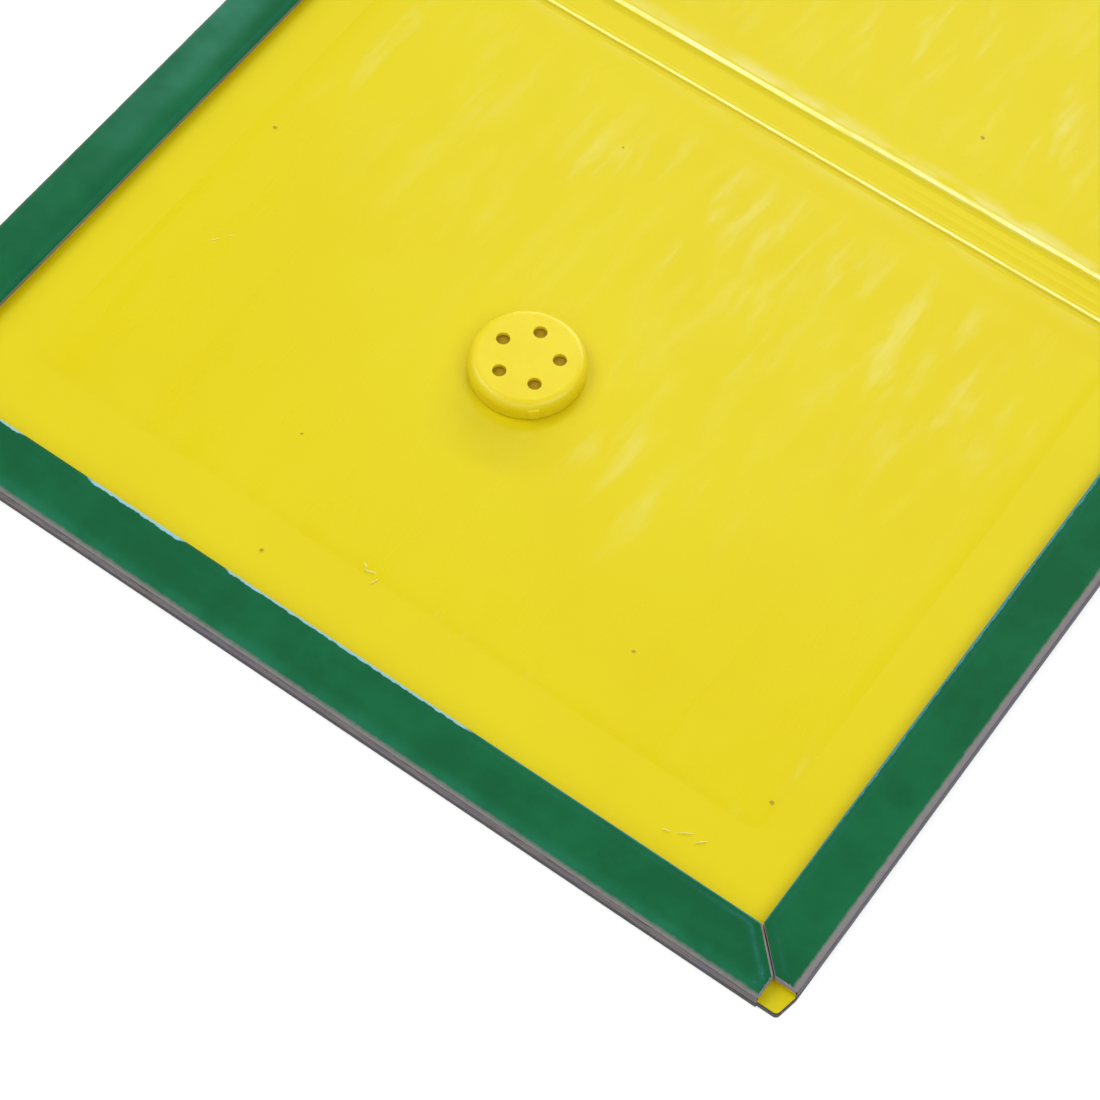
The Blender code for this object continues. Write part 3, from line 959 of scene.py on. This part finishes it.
def makeGlueBed(name, body):
    low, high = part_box(name)
    shape = flatGrid(low, high, glueLook["cell"], glueLook["cell"])
    for vert in shape.verts:
        roundCorner(vert.co, low, high, glueLook["radius"])
    thicken(shape, boardTop - glueLook["sunk"], boardTop + glueLook["height"])
    layer = shape.verts.layers.float.new("hazeAndSheen")
    for vert in shape.verts:
        place = vert.co.copy()
        distance = edgeDistance(place, low, high, glueLook["radius"])
        toCrease = 1.0  # far away, unless this is the half of the bed beside the crease
        if abs(place.y) < 60 * mm:
            toCrease = min(abs(place.y - low.y), abs(place.y - high.y))
        vert[layer] = hazeAndSheenOf(place, distance, toCrease)
        vert.co.z += panelWave(place)
        if place.z > boardTop:
            full = ease(distance, 0.0, glueLook["taper"]) * ease(toCrease, 0.0, glueLook["creaseTaper"])
            corner = ease(place.x, 10 * mm, 60 * mm) * ease(-place.y, 60 * mm, 110 * mm)
            beside = bell(distance - glueLook["ridgeAt"], glueLook["ridgeWidth"])
            lip = glueLook["ridge"] * (0.2 + 0.8 * corner) * beside
            settle = ease(distance, 0.0, 5 * mm) * ease(toCrease, 0.0, 9 * mm)
            fall = (1.0 - full) * (glueLook["height"] + glueLook["feather"])
            vert.co.z += lip + dragOf(place) * settle - fall
    addPiece(f"{name}_film", shape, glue, body, [name], 80)


makeGlueBed("near_glue_bed", "near_panel")
makeGlueBed("far_glue_bed", "far_panel")
print("glue beds made")


# lure
lureLook = {
    "steps": 96,
    "rimRadius": 1.80 * mm,
    "wall": 0.9 * mm,
    "top": 0.9 * mm,
    "vents": 5,
    "ventDiameter": 2.7 * mm,
    "ventCircle": 12.2 * mm,
    "firstVent": math.radians(174.3),
    "ventEdge": 0.14 * mm,
    "nubAngle": math.radians(-48.0),
    "nubWidth": 2.1 * mm,
    "nubStand": 0.22 * mm,
    "nubRound": 0.21 * mm,
}


def spinProfile(profile, centre):
    shape = bmesh.new()
    verts = [shape.verts.new((radius, 0.0, height)) for radius, height in profile]
    edges = [shape.edges.new((verts[i], verts[i + 1])) for i in range(len(verts) - 1)]
    bmesh.ops.spin(
        shape, geom=verts + edges, cent=(0.0, 0.0, 0.0), axis=(0.0, 0.0, 1.0), dvec=(0.0, 0.0, 0.0),
        angle=math.tau, steps=lureLook["steps"], use_merge=True, use_duplicate=False,
    )
    bmesh.ops.remove_doubles(shape, verts=shape.verts, dist=1e-6)
    bmesh.ops.recalc_face_normals(shape, faces=shape.faces)
    bmesh.ops.translate(shape, vec=centre, verts=shape.verts)
    return shape


def quarterTurn(radius, height, bend, steps=10):
    arc = []
    for step in range(steps + 1):
        angle = math.pi / 2 * (1 - step / steps)
        arc.append((radius - bend + bend * math.cos(angle), height - bend + bend * math.sin(angle)))
    return arc


def applied(piece):
    # replaces a piece's mesh by its evaluated one, so that no modifier is left
    depsgraph = bpy.context.evaluated_depsgraph_get()
    mesh = bpy.data.meshes.new_from_object(piece.evaluated_get(depsgraph))
    piece.modifiers.clear()
    old = piece.data
    piece.data = mesh
    mesh.name = old.name


def toolObject(name, shape):
    mesh = bpy.data.meshes.new(name)
    shape.to_mesh(mesh)
    shape.free()
    tool = bpy.data.objects.new(name, mesh)
    bpy.context.scene.collection.objects.link(tool)
    tool.hide_render = True
    return tool


def useTool(piece, tool, operation):
    boolean = piece.modifiers.new("tool", "BOOLEAN")
    boolean.object = tool
    boolean.operation = operation
    boolean.solver = "EXACT"


def makeVentTool(index, centre, height):
    angle = lureLook["firstVent"] - index * math.tau / lureLook["vents"]
    vent = bmesh.new()
    ring = lureLook["ventDiameter"] / 2
    bmesh.ops.create_cone(vent, cap_ends=True, segments=32, radius1=ring, radius2=ring, depth=height)
    reach = lureLook["ventCircle"] / 2
    place = centre + Vector((reach * math.cos(angle), reach * math.sin(angle), height))
    bmesh.ops.translate(vent, vec=place, verts=vent.verts)
    return toolObject(f"ventTool{index}", vent)


def makeNubTool(centre, radius, height):
    nub = bmesh.new()
    bmesh.ops.create_cube(nub, size=1.0)
    root = radius - lureLook["wall"] / 2
    tip = radius + lureLook["nubStand"]
    bmesh.ops.scale(nub, verts=nub.verts, vec=(tip - root, lureLook["nubWidth"], height * 0.62))
    outer = [edge for edge in nub.edges if all(vert.co.x > 0 for vert in edge.verts)]
    bmesh.ops.bevel(
        nub, geom=outer, offset=lureLook["nubRound"], segments=5, profile=0.5, affect="EDGES",
        material=-1,
    )
    bmesh.ops.translate(nub, vec=((root + tip) / 2, 0.0, height * 0.42), verts=nub.verts)
    bmesh.ops.rotate(
        nub, cent=(0.0, 0.0, 0.0), matrix=Matrix.Rotation(lureLook["nubAngle"], 3, "Z"), verts=nub.verts,
    )
    bmesh.ops.translate(nub, vec=centre, verts=nub.verts)
    return toolObject("nubTool", nub)


def makeLureCap():
    low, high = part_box("lure_cap")
    dishLow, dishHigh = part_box("lure_dish")
    centre = Vector(((dishLow.x + dishHigh.x) / 2, (dishLow.y + dishHigh.y) / 2, low.z))
    radius = centre.x - low.x  # the nub stands on the other side
    height = high.z - low.z
    inner = radius - lureLook["wall"]
    ceiling = height - lureLook["top"]
    profile = [(0.0, height)] + quarterTurn(radius, height, lureLook["rimRadius"])
    profile += [(radius, 0.35 * mm), (radius - 0.12 * mm, 0.0), (inner, 0.0)]
    profile += [(inner, ceiling - 0.3 * mm), (inner - 0.3 * mm, ceiling), (0.0, ceiling)]
    shape = spinProfile(profile, centre)
    cap = addPiece("lure_cap_body", shape, plastic, "lure_cap", ["lure_cap"], 35)
    tools = [makeVentTool(index, centre, height) for index in range(lureLook["vents"])]
    for tool in tools:
        useTool(cap, tool, "DIFFERENCE")
    tools.append(makeNubTool(centre, radius, height))
    useTool(cap, tools[-1], "UNION")
    bevel = cap.modifiers.new("soften", "BEVEL")
    bevel.width = lureLook["ventEdge"]
    bevel.segments = 3
    bevel.limit_method = "ANGLE"
    bevel.angle_limit = math.radians(50)
    applied(cap)
    cap.data.shade_smooth()
    cap.data.set_sharp_from_angle(angle=math.radians(35))
    for face in cap.data.polygons:
        face.use_smooth = face.normal.z < 0.9999  # the flat top is shaded flat
    for tool in tools:
        bpy.data.objects.remove(tool)


def softenNode(nodeName, pieceName, material, body, width, angle):
    # a finer copy of a turned part, with its edges rounded
    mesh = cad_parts[nodeName].data.copy()
    shape = bmesh.new()
    shape.from_mesh(mesh)
    bmesh.ops.remove_doubles(shape, verts=shape.verts, dist=1e-6)
    bmesh.ops.dissolve_limit(
        shape, angle_limit=math.radians(1), verts=shape.verts, edges=shape.edges,
    )
    steep = math.radians(angle)
    sharp = [edge for edge in shape.edges if edge.is_manifold and edge.calc_face_angle() > steep]
    bmesh.ops.bevel(
        shape, geom=sharp, offset=width, segments=3, profile=0.5, affect="EDGES", material=-1,
    )
    return addPiece(pieceName, shape, material, body, [nodeName])


makeLureCap()
softenNode("lure_dish", "lure_dish_body", plastic, "lure_dish", 0.12 * mm, 40)
softenNode("pheromone_wafer", "wafer_disc", felt, "lure_dish", 0.15 * mm, 30)
print("lure made")


# specks of dust and wisps of glue
dustLook = {
    "speckAt": 0.15 * mm,
    "wispAt": 0.14 * mm,
    "wispRadius": 0.14,
    "near": [  # x, y and radius in mm
        (-78.7, -62.6, 0.36), (-31.0, -115.4, 0.24), (-21.6, -139.4, 0.28), (44.7, -116.1, 0.30),
        (81.3, -126.2, 0.34), (-21.3, -25.3, 0.22),
    ],
    "far": [(34.1, 19.7, 0.38)],
    "wisps": [  # x, y and half length in mm, and turn
        (-3.1, -131.3, 1.3, 0.3), (-1.2, -132.4, 0.9, 1.2), (-4.6, -130.6, 0.7, -0.5),
        (72.6, -140.0, 1.5, 0.55), (75.6, -139.9, 1.2, 0.75), (69.4, -141.6, 0.8, 0.2),
        (-71.3, -90.7, 0.9, 0.9), (-69.5, -88.2, 0.6, 0.4),
    ],
}


def scatter(shape, x, y, radius, stretch, turn, height, top):
    made = bmesh.ops.create_icosphere(shape, subdivisions=2, radius=radius)
    for vert in made["verts"]:
        lump = 1.0 + 0.5 * noise.noise(vert.co / (0.25 * mm) + Vector((x, y, 0.0)))
        vert.co = Vector((vert.co.x * lump * stretch, vert.co.y * lump, vert.co.z * height))
    bmesh.ops.rotate(
        shape, cent=(0.0, 0.0, 0.0), matrix=Matrix.Rotation(turn, 3, "Z"), verts=made["verts"],
    )
    bmesh.ops.translate(shape, vec=Vector((x * mm, y * mm, top)), verts=made["verts"])


def makeDust(name, body, spots):
    shape = bmesh.new()
    for x, y, size in spots:
        turn = x  # so that no two lie the same way
        scatter(shape, x, y, size * mm, 1.25, turn, 0.28, boardTop + dustLook["speckAt"])
    addPiece(name, shape, dust, body)


def makeWisps():
    shape = bmesh.new()
    radius = dustLook["wispRadius"]
    for x, y, length, turn in dustLook["wisps"]:
        scatter(shape, x, y, radius * mm, length / radius, turn, 0.5, boardTop + dustLook["wispAt"])
    addPiece("glue_wisps", shape, wisp, "near_panel")


makeDust("near_dust", "near_panel", dustLook["near"])
makeDust("far_dust", "far_panel", dustLook["far"])
makeWisps()
print("dust and wisps made")


# stage and light
stageLook = {
    "floor": (0.93, 0.93, 0.92),
    "floorGlow": 0.45,
    "world": (0.275, 0.275, 0.28),
    "lights": [
        ("overheadSoftbox", (-0.40, 0.85, 1.30), (0.55, 0.40), 1.8, (1.0, 0.99, 0.97)),
        ("lowRearSoftbox", (-0.45, 1.50, 0.55), (1.7, 0.09), 10.5, (1.0, 0.99, 0.97)),
        ("rearSoftbox", (0.10, 1.50, 0.95), (1.5, 0.45), 5.0, (1.0, 0.99, 0.97)),
        ("leftSoftbox", (-0.85, -0.40, 1.30), (0.9, 0.9), 7.6, (1.0, 1.0, 1.0)),
        ("rightSoftbox", (0.95, -0.05, 1.20), (0.9, 0.9), 5.7, (0.98, 0.99, 1.0)),
        ("frontSoftbox", (0.30, -1.20, 1.15), (1.8, 1.3), 7.4, (1.0, 1.0, 1.0)),
    ],
}


def makeStage():
    shape = bmesh.new()
    bmesh.ops.create_grid(shape, x_segments=1, y_segments=1, size=4.0)
    bmesh.ops.translate(shape, vec=(0.0, 0.0, -0.15 * mm), verts=shape.verts)
    mesh = bpy.data.meshes.new("floor")
    shape.to_mesh(mesh)
    shape.free()
    floor = bpy.data.objects.new("floor", mesh)
    bpy.context.scene.collection.objects.link(floor)
    material, _, shader, _ = startMaterial("paleFloor", 0.9)
    shader.inputs["Base Color"].default_value = (*stageLook["floor"], 1.0)
    shader.inputs["Emission Color"].default_value = (1.0, 1.0, 1.0, 1.0)
    shader.inputs["Emission Strength"].default_value = stageLook["floorGlow"]
    mesh.materials.append(material)
    world = bpy.data.worlds.new("studio")
    world.use_nodes = True
    backdrop = world.node_tree.nodes["Background"]
    backdrop.inputs["Color"].default_value = (*stageLook["world"], 1.0)
    backdrop.inputs["Strength"].default_value = 1.0
    bpy.context.scene.world = world
    for name, place, size, power, colour in stageLook["lights"]:
        light = bpy.data.lights.new(name, "AREA")
        light.shape = "RECTANGLE"
        light.size, light.size_y = size
        light.energy = power
        light.color = colour
        lamp = bpy.data.objects.new(name, light)
        lamp.location = place
        aim = Vector((0.0, -0.05, 0.0)) - Vector(place)
        lamp.rotation_mode = "QUATERNION"
        lamp.rotation_quaternion = aim.to_track_quat("-Z", "Y")
        bpy.context.scene.collection.objects.link(lamp)
    bpy.context.scene.view_settings.view_transform = "Standard"


cameraLook = {
    "aim": (0.0204, -0.1080, 0.0016),
    "azimuth": 32.30,
    "elevation": 59.95,
    "roll": 3.89,
    "distance": 0.5944,
    "lens": 106.7,
}


def makeCamera():
    turn = math.radians(cameraLook["azimuth"])
    rise = math.radians(cameraLook["elevation"])
    back = Vector((math.sin(turn) * math.cos(rise), -math.cos(turn) * math.cos(rise), math.sin(rise)))
    data = bpy.data.cameras.new("camera")
    data.lens = cameraLook["lens"]
    data.sensor_width = 36.0
    camera = bpy.data.objects.new("camera", data)
    camera.location = Vector(cameraLook["aim"]) + back * cameraLook["distance"]
    camera.rotation_mode = "QUATERNION"
    level = (-back).to_track_quat("-Z", "Y")
    roll = Matrix.Rotation(math.radians(cameraLook["roll"]), 3, "Z").to_quaternion()
    camera.rotation_quaternion = level @ roll
    data.clip_start = 0.01
    data.clip_end = 20.0
    bpy.context.scene.collection.objects.link(camera)
    bpy.context.scene.camera = camera


makeStage()
makeCamera()
print("stage, lights and camera ready")
